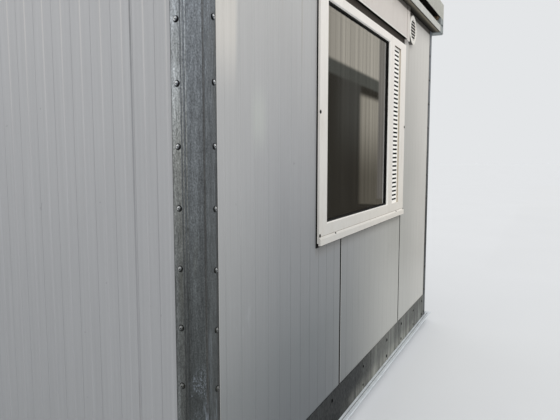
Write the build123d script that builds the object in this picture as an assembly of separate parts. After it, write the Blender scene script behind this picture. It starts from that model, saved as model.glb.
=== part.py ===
from build123d import *
import os

# Portable site cabin, in millimetres, +Z up, origin under the middle of the cabin at ground level.
# The window end wall faces -Y. Width runs along X and length along Y, wall face to wall face.
body_width = 3300
body_length = 6000
panel_height = 2141

# Base: pads, channel rails with an outstanding bottom flange, joists and deck
pad_size = 220
pad_height = 60
pad_inset = 30
pad_rows = 4
rail_height = 160
rail_steel = 4
rail_flange_steel = 6
rail_ledge = 40
joist_count = 11
joist_width = 50
joist_steel = 3
joist_lift = 24
deck_thickness = 22

# Walls: insulated panels that stand on the rails, and the strips along their foot
panel_thickness = 60
panel_cover = 1160
panel_joint = 3
joint_rebate = 2
joint_rebate_depth = 5
front_first_cover = 1208
side_first_cover = 230
kick_height = 180
kick_steel = 3

# Corner posts: folded skin with two lapping flanges, around a chamfered box section
post_skin = 3
post_box = 60
post_box_wall = 4
post_chamfer = 41
post_end_flange = 63
post_side_flange = 39
post_groove_depth = 2
post_groove_width = 6
post_end_groove_width = 9
post_end_groove = 5
post_side_groove = 6
post_face_groove = 6

# Roof edge: soffit and lip, the recess over it, and the fascia
roof_overhang = 70
roof_steel = 3
soffit_inside = 100
lip_height = 48
lip_return = 45
recess_height = 62
beam_top_inside = 60
fascia_height = 119
fascia_top_return = 30
fascia_bottom_flange = 90
corner_block_size = 115
corner_slot_height = 13
corner_slot_depth = 10
corner_slot_margin = 22
corner_slot_lift = 52
corner_foot_drop = 6
corner_foot_inset = 5

# Roof sheet and ceiling
roof_slab = 60
roof_rib_height = 32
roof_rib_foot = 60
roof_rib_crown = 30
roof_rib_count = 17
roof_rib_margin = 160
roof_edge_gap = 2
ceiling_thickness = 50

# Window in the end wall: its left edge runs from the wall's left corner, its head hangs from the box
window_left = 886
window_width = 1484
window_height = 1070
window_lap = 30
window_fit = 2
flange_thickness = 9
seal_thickness = 8
seal_inset = 3
left_member = 91
right_member = 383
foot_member = 51
head_member = 41
frame_depth = 70
glass_thickness = 24
glass_bite = 14
gasket_width = 12
gasket_thickness = 8
sill_height = 38
sill_thickness = 24
sill_lip = 10
sill_seal_drop = 4

# Slotted ventilation strip in the wide right member, placed from the window's edges
strip_from_edge = 134
strip_width = 151
strip_from_foot = 51
strip_from_head = 47
strip_setback = 10
strip_thickness = 3
strip_cavity = 16
strip_ledge = 7
strip_slot_height = 11
strip_slot_pitch = 26.4
strip_slot_margin = 12
strip_end_margin = 20

# Shutter box over the window, with the dark end bar of the rolled shutter in its slot
box_height = 211
box_end_width = 66
box_from_window = 45
box_front = 20
box_end_front = 23
box_end_drop = 9
box_depth = 180
bar_front = 6
bar_depth = 18
bar_play = 3

# Round vents through the end wall, placed from the window's sides and the soffit
vent_from_left = 351
vent_from_right = 165
vent_drop = 126
vent_outer = 190
vent_grille = 140
vent_sleeve_wall = 3
vent_front = 22
vent_sleeve_play = 1
vent_slat_count = 7
vent_slat_thickness = 7
vent_slat_depth = 7
vent_slat_tilt = 15

# Door in the rear wall: place measured from the wall's left corner as seen from outside
door_left = 1208
door_width = 1060
door_from_soffit = 80
door_jamb = 55
door_frame_front = 6
door_threshold = 20
door_leaf_gap = 3
door_leaf_thickness = 45
door_stop = 14
handle_above_floor = 1050
handle_setback = 60
handle_plate_width = 44
handle_plate_height = 230
handle_plate_thickness = 8
handle_neck_length = 42
handle_neck_radius = 9
handle_lever_length = 125
handle_lever_radius = 10

# Places that follow from the sizes above
rail_foot = pad_height
rail_top = rail_foot + rail_height
soffit = rail_top + panel_height
lip_top = soffit + lip_height
beam_top = lip_top + recess_height
roof_top = beam_top + fascia_height
ledge_top = rail_foot + rail_flange_steel
window_front = seal_thickness + flange_thickness
box_foot = soffit - box_height
window_right = window_left + window_width
window_head = box_foot - box_from_window
window_foot = window_head - window_height
light_left = window_left + left_member
light_right = window_right - right_member
light_foot = window_foot + foot_member
light_head = window_head - head_member
strip_right = window_right - strip_from_edge
strip_left = strip_right - strip_width
strip_foot = window_foot + strip_from_foot
strip_head = window_head - strip_from_head
vent_places = (window_left - vent_from_left, window_right + vent_from_right)
vent_lift = soffit - vent_drop
door_top = soffit - door_from_soffit
handle_lift = rail_top + handle_above_floor
walls = {
    "front": (body_width, body_length / 2, 0),
    "rear": (body_width, body_length / 2, 180),
    "left": (body_length, body_width / 2, -90),
    "right": (body_length, body_width / 2, 90),
}


def on_wall(shape, wall):
    """Moves a shape drawn on a wall's own face (along, outward as -Y, up) to that wall."""
    length, distance, turn = walls[wall]
    return Rot(0, 0, turn) * Pos(-length / 2, -distance, 0) * shape


def block(along, outward, up):
    """Box from its low and high place along a wall, outward from its face, and up."""
    size = Box(along[1] - along[0], outward[1] - outward[0], up[1] - up[0], align=Align.MIN)
    return Pos(along[0], -outward[1], up[0]) * size


def bar(outline, start, end):
    """Section drawn as (outward, up) points, run along a wall."""
    section = make_face(Polyline(*[(-outward, up) for outward, up in outline], close=True))
    return Pos(start, 0, 0) * extrude(Plane.YZ * section, amount=end - start, dir=(1, 0, 0))


def upright(outline, foot, head):
    """Plan outline of (x, y) points, raised from foot to head."""
    plan = make_face(Polyline(*outline, close=True))
    return Pos(0, 0, foot) * extrude(plan, amount=head - foot, dir=(0, 0, 1))


def mitred(outline, wall, outer, inner):
    """Section run round one side of the cabin and cut to 45 degrees at both corners."""
    length = walls[wall][0]
    run = bar(outline, -outer, length + outer)
    plan = [(-outer, -outer), (length + outer, -outer), (length - inner, inner), (inner, inner)]
    lowest = min(up for _, up in outline)
    highest = max(up for _, up in outline)
    return run & upright(plan, lowest, highest)


def at_corners(shape):
    """A shape drawn at the front left corner, with a mirrored copy at the other three."""
    front_left = Pos(-body_width / 2, -body_length / 2, 0) * shape
    front_right = mirror(front_left, about=Plane.YZ)
    return {
        "front_left": front_left,
        "front_right": front_right,
        "rear_left": mirror(front_left, about=Plane.XZ),
        "rear_right": mirror(front_right, about=Plane.XZ),
    }


def support_pads():
    """Low pads under the two long rails."""
    reach_x = body_width / 2 - pad_inset - pad_size / 2
    reach_y = body_length / 2 - pad_inset - pad_size / 2
    pad = Box(pad_size, pad_size, pad_height, align=(Align.CENTER, Align.CENTER, Align.MIN))
    step = 2 * reach_y / (pad_rows - 1)
    pads = []
    for row in range(pad_rows):
        pads.append(Pos(-reach_x, row * step - reach_y, 0) * pad)
        pads.append(Pos(reach_x, row * step - reach_y, 0) * pad)
    return Compound(children=pads)


def base_rail(wall):
    """Channel whose web stands behind the kick plate and whose bottom flange stands out."""
    inside = -panel_thickness
    outline = [
        (inside, rail_foot),
        (rail_ledge, rail_foot),
        (rail_ledge, ledge_top),
        (0, ledge_top),
        (0, rail_top),
        (inside, rail_top),
        (inside, rail_top - rail_steel),
        (-rail_steel, rail_top - rail_steel),
        (-rail_steel, ledge_top),
        (inside, ledge_top),
    ]
    length = walls[wall][0]
    rail = mitred(outline, wall, rail_ledge, panel_thickness)
    corner = [(0, 0), (post_chamfer, 0), (0, post_chamfer)]
    near_cut = upright(corner, ledge_top, rail_top)
    far_cut = Pos(length, 0, 0) * mirror(near_cut, about=Plane.YZ)
    return on_wall(rail - near_cut - far_cut, wall)


def floor_joists():
    """Channel joists across the width, from web to web of the side rails."""
    reach = body_width / 2 - rail_steel
    top = rail_top - deck_thickness
    foot = ledge_top + joist_lift
    outline = [
        (0, foot),
        (joist_width, foot),
        (joist_width, foot + joist_steel),
        (joist_steel, foot + joist_steel),
        (joist_steel, top - joist_steel),
        (joist_width, top - joist_steel),
        (joist_width, top),
        (0, top),
    ]
    joist = bar(outline, -reach, reach)
    reach_y = body_length / 2 - panel_thickness - joist_width
    step = 2 * reach_y / (joist_count - 1)
    return Compound(children=[Pos(0, row * step - reach_y, 0) * joist for row in range(joist_count)])


def floor_deck():
    """Deck board on the joists, between the rails."""
    width = body_width - 2 * panel_thickness
    length = body_length - 2 * panel_thickness
    board = Box(width, length, deck_thickness, align=(Align.CENTER, Align.CENTER, Align.MAX))
    return Pos(0, 0, rail_top) * board


def kick_plate(wall):
    """Strip along the foot of a wall, between the flanges of its corner posts."""
    flange = post_side_flange if wall in ("left", "right") else post_end_flange
    start = post_chamfer + flange
    end = walls[wall][0] - start
    kick_top = ledge_top + kick_height
    strip = block((start, end), (0, kick_steel), (ledge_top, kick_top))
    if wall == "rear":
        door_along = (door_left, door_left + door_width)
        strip -= block(door_along, (0, kick_steel), (rail_top - kick_steel, kick_top))
    return on_wall(strip, wall)


def corner_posts():
    """Folded skin with grooves beside its folds, joined to a chamfered box section."""
    fold = post_chamfer - post_skin * (2 ** 0.5 - 1)
    end_tip = post_chamfer + post_end_flange
    side_tip = post_chamfer + post_side_flange
    end_groove = post_chamfer + post_end_groove
    side_groove = post_chamfer + post_side_groove
    half_groove = post_groove_width / 2
    half_end_groove = post_end_groove_width / 2

    def on_face(along, inward):
        """Point of the slanted face: along it from the side fold, and inward from it."""
        return (along + inward) / 2 ** 0.5 - post_skin, fold + (inward - along) / 2 ** 0.5

    skin = upright([
        (end_tip, 0),
        (end_tip, -post_skin),
        (end_groove + half_end_groove, -post_skin),
        (end_groove, post_groove_depth - post_skin),
        (end_groove - half_end_groove, -post_skin),
        (fold, -post_skin),
        on_face(post_face_groove + half_groove, 0),
        on_face(post_face_groove, post_groove_depth),
        on_face(post_face_groove - half_groove, 0),
        (-post_skin, fold),
        (-post_skin, side_groove - half_groove),
        (post_groove_depth - post_skin, side_groove),
        (-post_skin, side_groove + half_groove),
        (-post_skin, side_tip),
        (0, side_tip),
        (0, post_chamfer),
        (post_chamfer, 0),
    ], ledge_top, soffit)
    inner = post_chamfer + post_box_wall * (2 ** 0.5 - 1)
    far = post_box - post_box_wall
    box_outside = [(post_chamfer, 0), (post_box, 0), (post_box, post_box), (0, post_box),
                   (0, post_chamfer)]
    box_inside = [(inner, post_box_wall), (far, post_box_wall), (far, far), (post_box_wall, far),
                  (post_box_wall, inner)]
    box = upright(box_outside, rail_top, soffit) - upright(box_inside, rail_top, soffit)
    return at_corners(skin + box)


def panel(start, end, foot=rail_top, head=soffit):
    """One insulated wall panel, with half a joint's gap and a shallow rebate at each end."""
    half_joint = panel_joint / 2
    board = block((start + half_joint, end - half_joint), (-panel_thickness, 0), (foot, head))
    rebate = half_joint + joint_rebate
    for edge in (start, end):
        board -= block((edge - rebate, edge + rebate), (-joint_rebate_depth, 0), (foot, head))
    return board


def wall_opening():
    """Room that the window frame, the shutter's bar and the shutter box take in the end wall."""
    frame = block((window_left + window_lap - window_fit, window_right - window_lap + window_fit),
                  (-panel_thickness, 0), (window_foot + window_lap - window_fit, box_foot))
    box = block((window_left - box_end_width - window_fit, window_right + box_end_width + window_fit),
                (-panel_thickness, 0), (box_foot, soffit))
    return frame + box + shutter_bar_room(bar_play)


def front_panels():
    """Three panels of the end wall, cut for the window, the shutter box and the vents."""
    second = front_first_cover
    third = front_first_cover + panel_cover
    end = body_width - post_box
    opening = wall_opening()
    bore = Rot(90, 0, 0) * Cylinder(vent_grille / 2 + vent_sleeve_play, 2 * panel_thickness)
    for place in vent_places:
        opening += Pos(place, panel_thickness / 2, vent_lift) * bore
    return {
        "front_panel_left": on_wall(panel(post_box, second) - opening, "front"),
        "front_panel_middle": on_wall(panel(second, third) - opening, "front"),
        "front_panel_right": on_wall(panel(third, end) - opening, "front"),
    }


def rear_panels():
    """Panels beside and over the door."""
    door_right = door_left + door_width
    return {
        "rear_panel_left": on_wall(panel(post_box, door_left), "rear"),
        "rear_panel_over_door": on_wall(panel(door_left, door_right, foot=door_top), "rear"),
        "rear_panel_right": on_wall(panel(door_right, body_width - post_box), "rear"),
    }


def side_panels(wall):
    """A long wall: a narrow first panel at the window end, then full ones."""
    places = [post_box, side_first_cover]
    while places[-1] + panel_cover < body_length - post_box - side_first_cover / 2:
        places.append(places[-1] + panel_cover)
    places.append(body_length - post_box)
    if wall == "left":
        places = [body_length - place for place in reversed(places)]
    panels = [panel(start, end) for start, end in zip(places, places[1:])]
    return on_wall(Compound(children=panels), wall)


def roof_corner_box():
    """Space of the corner block where two roof beams meet."""
    inner = corner_block_size - roof_overhang
    return block((-roof_overhang, inner), (-inner, roof_overhang), (soffit, beam_top))


def roof_beam(wall):
    """Soffit plate, lip, return and web that carry the roof's edge."""
    back = roof_overhang - lip_return
    outline = [
        (-soffit_inside, soffit),
        (roof_overhang, soffit),
        (roof_overhang, lip_top),
        (back, lip_top),
        (back, beam_top),
        (-beam_top_inside, beam_top),
        (-beam_top_inside, beam_top - roof_steel),
        (back - roof_steel, beam_top - roof_steel),
        (back - roof_steel, lip_top - roof_steel),
        (roof_overhang - roof_steel, lip_top - roof_steel),
        (roof_overhang - roof_steel, soffit + roof_steel),
        (-soffit_inside, soffit + roof_steel),
    ]
    beam = mitred(outline, wall, roof_overhang, soffit_inside)
    near = roof_corner_box()
    far = Pos(walls[wall][0], 0, 0) * mirror(near, about=Plane.YZ)
    return on_wall(beam - near - far, wall)


def roof_corner_blocks():
    """Solid corner blocks with a slot on each outer face and a foot plate round the post."""
    inner = corner_block_size - roof_overhang
    slot_foot = soffit + corner_slot_lift
    slot_up = (slot_foot, slot_foot + corner_slot_height)
    slot_span = (corner_slot_margin - roof_overhang, inner - corner_slot_margin)
    depth = (roof_overhang - corner_slot_depth, roof_overhang)
    front_slot = block(slot_span, depth, slot_up)
    side_slot = block((-depth[1], -depth[0]), (-slot_span[1], -slot_span[0]), slot_up)
    foot_reach = roof_overhang - corner_foot_inset
    foot_up = (soffit - corner_foot_drop, soffit)
    foot = block((-foot_reach, inner), (-inner, foot_reach), foot_up)
    clear = post_skin + panel_joint
    post_room = block((-clear, inner), (-inner, clear), foot_up)
    corner = roof_corner_box() - front_slot - side_slot + (foot - post_room)
    return Compound(children=list(at_corners(corner).values()))


def roof_fascia(wall):
    """Upright band round the roof, with a foot on the beam and a narrow return at the top."""
    outline = [
        (roof_overhang - fascia_bottom_flange, beam_top),
        (roof_overhang, beam_top),
        (roof_overhang, roof_top),
        (roof_overhang - fascia_top_return, roof_top),
        (roof_overhang - fascia_top_return, roof_top - roof_steel),
        (roof_overhang - roof_steel, roof_top - roof_steel),
        (roof_overhang - roof_steel, beam_top + roof_steel),
        (roof_overhang - fascia_bottom_flange, beam_top + roof_steel),
    ]
    return on_wall(mitred(outline, wall, roof_overhang, fascia_bottom_flange - roof_overhang), wall)


def roof_sheet():
    """Insulated roof slab with raised ribs across the width, inside the fascia."""
    reach = roof_overhang - fascia_bottom_flange - roof_edge_gap
    width = body_width + 2 * reach
    length = body_length + 2 * reach
    slab = Box(width, length, roof_slab, align=(Align.CENTER, Align.CENTER, Align.MIN))
    crown = roof_slab + roof_rib_height
    rib_outline = [
        (-roof_rib_foot / 2, roof_slab),
        (-roof_rib_crown / 2, crown),
        (roof_rib_crown / 2, crown),
        (roof_rib_foot / 2, roof_slab),
    ]
    rib = bar(rib_outline, -width / 2, width / 2)
    reach_y = length / 2 - roof_rib_margin
    step = 2 * reach_y / (roof_rib_count - 1)
    for row in range(roof_rib_count):
        slab += Pos(0, row * step - reach_y, 0) * rib
    return Pos(0, 0, beam_top) * slab


def ceiling_panel():
    """Ceiling slab carried on the inner edge of the soffit plates."""
    width = body_width - 2 * panel_thickness
    length = body_length - 2 * panel_thickness
    slab = Box(width, length, ceiling_thickness, align=(Align.CENTER, Align.CENTER, Align.MIN))
    return Pos(0, 0, soffit + roof_steel) * slab


def window_frame():
    """Outer flange, frame body through the wall, glazing rebate and the recess for the strip."""
    flange = block((window_left, window_right), (seal_thickness, window_front), (window_foot, window_head))
    body_along = (window_left + window_lap, window_right - window_lap)
    body_up = (window_foot + window_lap, window_head)
    frame = flange + block(body_along, (window_front - frame_depth, seal_thickness), body_up)
    frame -= block((light_left, light_right), (-frame_depth, window_front), (light_foot, light_head))
    frame -= glass_block()
    front = window_front - strip_setback
    strip_along = (strip_left, strip_right)
    frame -= block(strip_along, (front - strip_thickness, window_front), (strip_foot, strip_head))
    cavity_along = (strip_left + strip_ledge, strip_right - strip_ledge)
    cavity_up = (strip_foot + strip_ledge, strip_head - strip_ledge)
    frame -= block(cavity_along, (front - strip_cavity, front), cavity_up)
    return on_wall(frame, "front")


def glass_block():
    """Space of the sealed glass unit, which reaches into the frame on every side."""
    along = (light_left - glass_bite, light_right + glass_bite)
    up = (light_foot - glass_bite, light_head + glass_bite)
    return block(along, (-glass_thickness, 0), up)


def window_seals():
    """Dark tape between flange, sill and wall, and the gasket that holds the glass."""
    tape_foot = window_foot - sill_height - sill_seal_drop
    tape = block((window_left + seal_inset, window_right - seal_inset), (0, seal_thickness),
                 (tape_foot, window_head - seal_inset))
    tape -= block((window_left + window_lap, window_right - window_lap), (0, seal_thickness),
                  (window_foot + window_lap, window_head))
    gasket = block((light_left, light_right), (0, gasket_thickness), (light_foot, light_head))
    gasket -= block((light_left + gasket_width, light_right - gasket_width), (0, gasket_thickness),
                    (light_foot + gasket_width, light_head - gasket_width))
    return on_wall(Compound(children=[tape, gasket]), "front")


def window_sill():
    """Strip under the window with a turned down front lip."""
    foot = window_foot - sill_height
    slope = sill_thickness - sill_lip
    outline = [
        (seal_thickness, foot + sill_lip),
        (slope, foot + sill_lip),
        (slope, foot),
        (sill_thickness, foot),
        (sill_thickness, window_foot - sill_lip),
        (window_front, window_foot),
        (seal_thickness, window_foot),
    ]
    return on_wall(bar(outline, window_left, window_right), "front")


def vent_strip():
    """Plate with a column of level slots."""
    front = window_front - strip_setback
    plate = block((strip_left, strip_right), (front - strip_thickness, front), (strip_foot, strip_head))
    slot_along = (strip_left + strip_slot_margin, strip_right - strip_slot_margin)
    gaps = int((strip_head - strip_foot - 2 * strip_end_margin) / strip_slot_pitch)
    lowest = (strip_foot + strip_head - gaps * strip_slot_pitch) / 2
    for number in range(gaps + 1):
        foot = lowest + number * strip_slot_pitch - strip_slot_height / 2
        plate -= block(slot_along, (front - strip_thickness, front), (foot, foot + strip_slot_height))
    return on_wall(plate, "front")


def shutter_bar_room(play):
    """Space of the shutter's end bar, with some play beside and behind it."""
    along = (window_left + bar_play - play, window_right - bar_play + play)
    return block(along, (bar_front - bar_depth - play, bar_front), (window_head, box_foot))


def shutter_box():
    """Housing of the rolled shutter, with a wider cap at each end."""
    start = window_left - box_end_width
    end = window_right + box_end_width
    housing = block((start, end), (box_front - box_depth, box_front), (box_foot, soffit))
    end_up = (box_foot - box_end_drop, soffit)
    left_end = block((start, window_left), (0, box_end_front), end_up)
    right_end = block((window_right, end), (0, box_end_front), end_up)
    return on_wall(housing + left_end + right_end, "front")


def shutter_bar():
    """Dark end bar of the shutter, in the slot between the box and the window's head."""
    return on_wall(shutter_bar_room(0), "front")


def round_vent():
    """Round louvred vent: sleeve, raised ring and slanted slats, axis along -Y, at the origin."""
    face = Rot(90, 0, 0)
    grille = vent_grille / 2
    ring_outside = Cylinder(vent_outer / 2, vent_front, align=(Align.CENTER, Align.CENTER, Align.MIN))
    ring = ring_outside - Cylinder(grille - vent_sleeve_wall, 3 * vent_front)
    sleeve_solid = Cylinder(grille, panel_thickness, align=(Align.CENTER, Align.CENTER, Align.MAX))
    sleeve = sleeve_solid - Cylinder(grille - vent_sleeve_wall, 3 * panel_thickness)
    vent = face * (ring + sleeve)
    round_room = face * Cylinder(grille - vent_sleeve_wall / 2, vent_front,
                                 align=(Align.CENTER, Align.CENTER, Align.MIN))
    pitch = 2 * grille / vent_slat_count
    for number in range(vent_slat_count):
        height = (number + 0.5) * pitch - grille
        slat = Rot(-vent_slat_tilt, 0, 0) * Box(vent_grille, vent_slat_depth, vent_slat_thickness)
        vent += (Pos(0, vent_slat_depth / 2 - vent_front, height) * slat) & round_room
    return vent


def round_vents():
    """The two vents of the end wall."""
    vent = round_vent()
    pair = [Pos(place, 0, vent_lift) * vent for place in vent_places]
    return on_wall(Compound(children=pair), "front")


def door_frame():
    """Jambs and head with an inner stop, and a threshold between the jambs."""
    right = door_left + door_width
    back = -panel_thickness
    half_joint = panel_joint / 2
    along = (door_left + half_joint, right - half_joint)
    frame = block(along, (back, door_frame_front), (rail_top, door_top))
    stop = door_leaf_back()
    passage = (door_left + door_jamb, right - door_jamb)
    head = door_top - door_jamb
    foot = rail_top + door_threshold
    frame -= block(passage, (stop, door_frame_front), (foot, head))
    clear = (passage[0] + door_stop, passage[1] - door_stop)
    frame -= block(clear, (back, stop), (foot, head - door_stop))
    return on_wall(frame, "rear")


def door_leaf_back():
    """How far out the inner face of the closed leaf lies."""
    return -door_leaf_thickness


def door_leaf():
    """Closed leaf, against its stop."""
    along = (door_left + door_jamb + door_leaf_gap, door_left + door_width - door_jamb - door_leaf_gap)
    up = (rail_top + door_threshold + door_leaf_gap, door_top - door_jamb - door_leaf_gap)
    return on_wall(block(along, (door_leaf_back(), 0), up), "rear")


def door_handle():
    """Plate, neck and lever on the outer face of the leaf."""
    place = door_left + door_width - door_jamb - handle_setback
    half_width = handle_plate_width / 2
    half_height = handle_plate_height / 2
    plate = block((place - half_width, place + half_width), (0, handle_plate_thickness),
                  (handle_lift - half_height, handle_lift + half_height))
    neck_middle = Pos(place, -handle_neck_length / 2, handle_lift)
    neck = neck_middle * Rot(90, 0, 0) * Cylinder(handle_neck_radius, handle_neck_length)
    lever_middle = Pos(place - handle_lever_length / 2, -handle_neck_length, handle_lift)
    lever = lever_middle * Rot(0, 90, 0) * Cylinder(handle_lever_radius, handle_lever_length)
    return on_wall(plate + neck + lever, "rear")


def glass_pane():
    """Sealed glass unit."""
    return on_wall(glass_block(), "front")


def cabin():
    """Every piece of the cabin by its name."""
    pieces = {
        "support_pads": support_pads(),
        "floor_joists": floor_joists(),
        "floor_deck": floor_deck(),
        "kick_plate_front": kick_plate("front"),
        "kick_plate_rear": kick_plate("rear"),
        "kick_plates_sides": Compound(children=[kick_plate("left"), kick_plate("right")]),
        "left_wall_panels": side_panels("left"),
        "right_wall_panels": side_panels("right"),
        "roof_corner_blocks": roof_corner_blocks(),
        "roof_sheet": roof_sheet(),
        "ceiling_panel": ceiling_panel(),
        "window_frame": window_frame(),
        "window_seals": window_seals(),
        "window_glass": glass_pane(),
        "window_sill": window_sill(),
        "vent_strip": vent_strip(),
        "shutter_box": shutter_box(),
        "shutter_bar": shutter_bar(),
        "round_vents": round_vents(),
        "door_frame": door_frame(),
        "door_leaf": door_leaf(),
        "door_handle": door_handle(),
    }
    for wall in walls:
        pieces["base_rail_" + wall] = base_rail(wall)
        pieces["roof_beam_" + wall] = roof_beam(wall)
        pieces["roof_fascia_" + wall] = roof_fascia(wall)
    for corner, post in corner_posts().items():
        pieces["corner_post_" + corner] = post
    pieces.update(front_panels())
    pieces.update(rear_panels())
    return pieces


os.makedirs("parts", exist_ok=True)
for name, piece in cabin().items():
    export_step(piece, os.path.join("parts", name + ".step"))
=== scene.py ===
import math

import bmesh
import bpy
from mathutils import Matrix, Vector


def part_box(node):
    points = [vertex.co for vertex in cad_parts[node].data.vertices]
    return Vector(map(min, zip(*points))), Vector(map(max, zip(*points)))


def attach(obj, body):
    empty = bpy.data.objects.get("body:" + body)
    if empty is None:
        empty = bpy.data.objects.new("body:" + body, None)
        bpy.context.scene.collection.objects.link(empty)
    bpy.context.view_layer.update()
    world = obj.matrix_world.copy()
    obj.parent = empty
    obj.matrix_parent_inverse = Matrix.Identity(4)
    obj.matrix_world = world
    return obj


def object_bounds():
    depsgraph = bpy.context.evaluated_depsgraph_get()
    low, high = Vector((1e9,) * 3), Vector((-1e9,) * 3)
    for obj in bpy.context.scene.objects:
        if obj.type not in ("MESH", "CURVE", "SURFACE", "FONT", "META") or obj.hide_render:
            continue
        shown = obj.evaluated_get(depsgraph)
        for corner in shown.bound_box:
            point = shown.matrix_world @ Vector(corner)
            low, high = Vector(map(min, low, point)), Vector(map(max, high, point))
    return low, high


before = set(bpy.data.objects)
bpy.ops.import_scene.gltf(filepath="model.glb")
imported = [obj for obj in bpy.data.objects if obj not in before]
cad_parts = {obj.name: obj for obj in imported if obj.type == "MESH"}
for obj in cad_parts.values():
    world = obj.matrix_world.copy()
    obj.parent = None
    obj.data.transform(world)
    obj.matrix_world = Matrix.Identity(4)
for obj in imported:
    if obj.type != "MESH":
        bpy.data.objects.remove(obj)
cadLow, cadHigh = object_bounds()
scene = bpy.context.scene
print("site cabin: packed frame loaded")


# Screen values from 0 to 255 turned into light values
def tone(red, green, blue):
    light = [((v / 255 + 0.055) / 1.055) ** 2.4 for v in (red, green, blue)]
    return (*light, 1.0)


# A finish is a material, kept by its name; the helpers below hang nodes on its tree
finishes = {}


def plug(tree, inputs, values):
    for name, value in values.items():
        if isinstance(value, bpy.types.NodeSocket):
            tree.links.new(value, inputs[name])
        else:
            inputs[name].default_value = value


def startFinish(name, roughness, metallic=0.0, specular=0.5):
    finish = finishes[name] = bpy.data.materials.new(name)
    finish.use_nodes = True
    tree = finish.node_tree
    shader = tree.nodes["Principled BSDF"].inputs
    plug(tree, shader, {"Roughness": roughness, "Metallic": metallic, "Specular IOR Level": specular})
    return tree, shader


def newNode(tree, kind, values=None, **settings):
    node = tree.nodes.new(kind)
    for name, setting in settings.items():
        setattr(node, name, setting)
    plug(tree, node.inputs, values or {})
    return node.outputs


def grain(tree, size, stretch=(1, 1, 1), detail=4, rough=0.55, shift=0.0):
    where = newNode(tree, "ShaderNodeMapping", {
        "Vector": newNode(tree, "ShaderNodeTexCoord")["Object"],
        "Location": (shift, shift * 0.7, shift * 1.3), "Scale": stretch})["Vector"]
    return newNode(tree, "ShaderNodeTexNoise", {
        "Vector": where, "Scale": 1 / size, "Detail": detail, "Roughness": rough})["Fac"]


def axis(tree, name):
    place = newNode(tree, "ShaderNodeTexCoord")["Object"]
    return newNode(tree, "ShaderNodeSeparateXYZ", {"Vector": place})[name]


def facing(tree, name):
    normal = newNode(tree, "ShaderNodeNewGeometry")["Normal"]
    return newNode(tree, "ShaderNodeSeparateXYZ", {"Vector": normal})[name]


def spread(tree, value, low, high, toLow=0.0, toHigh=1.0, kind="SMOOTHSTEP"):
    return newNode(tree, "ShaderNodeMapRange", {
        "Value": value, "From Min": low, "From Max": high, "To Min": toLow, "To Max": toHigh},
        interpolation_type=kind)["Result"]


def reckon(tree, operation, first, second=0.0):
    return newNode(tree, "ShaderNodeMath", {0: first, 1: second}, operation=operation)["Value"]


def unsigned(tree, value):
    return reckon(tree, "ABSOLUTE", value)


def both(tree, *masks):
    result = masks[0]
    for mask in masks[1:]:
        result = reckon(tree, "MULTIPLY", result, mask)
    return result


def between(tree, value, low, high, soft):
    return both(tree, spread(tree, value, low - soft, low + soft),
                spread(tree, value, high + soft, high - soft))


def blend(tree, factor, first, second, kind="MIX"):
    return newNode(tree, "ShaderNodeMix", {0: factor, 6: first, 7: second},
                   data_type="RGBA", blend_type=kind)[2]


def gradient(tree, value, stops):
    node = tree.nodes.new("ShaderNodeValToRGB")
    ramp = node.color_ramp
    low, high = stops[0][0], stops[-1][0]
    while len(ramp.elements) < len(stops):
        ramp.elements.new(0.5)
    for number, (where, shade) in enumerate(stops):
        ramp.elements[number].position = (where - low) / (high - low)
    for number, (where, shade) in enumerate(stops):
        ramp.elements[number].color = tone(*shade)
    plug(tree, node.inputs, {"Fac": spread(tree, value, low, high, kind="LINEAR")})
    return node.outputs["Color"]


def varied(tree, base, pattern, amount):
    factor = spread(tree, pattern, 0.25, 0.75, 1 - amount, 1 + amount, "LINEAR")
    return blend(tree, 1.0, base, factor, "MULTIPLY")


def bumped(tree, shader, height, depth, strength=0.4):
    plug(tree, shader, {"Normal": newNode(tree, "ShaderNodeBump", {
        "Strength": strength, "Distance": depth, "Height": height})["Normal"]})


# The last links of a finish: its colour, and its roughness between two values by a pattern
def dress(tree, shader, base, pattern, roughness):
    plug(tree, shader, {"Base Color": base, "Roughness": spread(tree, pattern, 0.3, 0.7, *roughness)})


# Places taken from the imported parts
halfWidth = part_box("right_wall_panels")[1].x
halfLength = -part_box("front_panel_left")[0].y
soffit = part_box("front_panel_left")[1].z
kickLow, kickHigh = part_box("kick_plate_front")
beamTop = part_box("roof_beam_front")[1].z
doorLow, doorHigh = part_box("door_frame")
leafLow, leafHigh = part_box("door_leaf")
frameLow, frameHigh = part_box("window_frame")
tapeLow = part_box("window_seals")[0]
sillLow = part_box("window_sill")[0]
boxLow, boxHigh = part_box("shutter_box")
barLow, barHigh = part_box("shutter_bar")
stripLow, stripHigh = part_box("vent_strip")
ventLow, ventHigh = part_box("round_vents")
glassLow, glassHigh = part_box("window_glass")
kickTop, ledgeTop = kickHigh.z, kickLow.z
kickFront = -halfLength - kickLow.y
overhang = cadHigh.x - halfWidth
sunk = 0.0005  # small pieces reach this far into what carries them

# Panels are laid from joint to joint; the first joints are measured from a wall's left corner
coverWidth = 1.16
frontJoints = (1.208, 1.208 + coverWidth)
sideJoints = [0.23 + n * coverWidth for n in range(5)]

# Each wall's length, its distance from the middle and its turn in degrees
walls = {
    "front": (2 * halfWidth, halfLength, 0),
    "rear": (2 * halfWidth, halfLength, 180),
    "left": (2 * halfLength, halfWidth, -90),
    "right": (2 * halfLength, halfWidth, 90),
}
lengths = {wall: row[0] for wall, row in walls.items()}


# A point on a wall: along it from its left end as seen from outside, out from its face, and up
def onWall(wall, along, out, up):
    length, distance, turn = walls[wall]
    flat = Vector((along - length / 2, -distance - out, up))
    return Matrix.Rotation(math.radians(turn), 3, "Z") @ flat


# The stretch of an end wall that a part's box takes up
def frontSpan(low, high, more=0.0):
    return low.x + halfWidth - more, high.x + halfWidth + more


def rearSpan(low, high):
    return halfWidth - high.x, halfWidth - low.x


# Shapes are gathered as points and faces, and become one piece at the end
def newShape():
    return {"points": [], "faces": []}


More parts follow.
